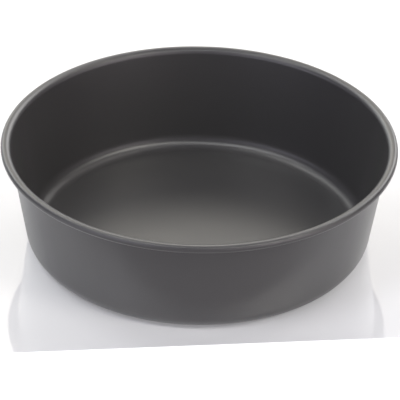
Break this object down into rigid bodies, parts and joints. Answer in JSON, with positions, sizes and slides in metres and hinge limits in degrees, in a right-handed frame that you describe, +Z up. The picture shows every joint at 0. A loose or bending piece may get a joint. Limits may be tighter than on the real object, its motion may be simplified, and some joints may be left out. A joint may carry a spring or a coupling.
{
  "type": "round cake tin",
  "caption": "Round, deep cake tin with tapered wall, rounded inner corner, flat base and wired rolled rim, coated dark grey.",
  "frame": {"origin": "middle of the flat underside", "axes": "+Z up along the tin's axis, out of its mouth; the tin is round, so +X and +Y have no part of their own, apart from the butted ends of the hidden wire, which lie at +X"},
  "size_m": [0.2514, 0.2514, 0.0707],
  "materials": {
    "coated_steel": "satin dark grey non-stick coating on steel sheet",
    "wire_steel": "bright drawn mild steel wire"
  },
  "bodies": {
    "root": {"tin_shell": "coated_steel", "rim_wire": "wire_steel"}
  },
  "joints": []
}
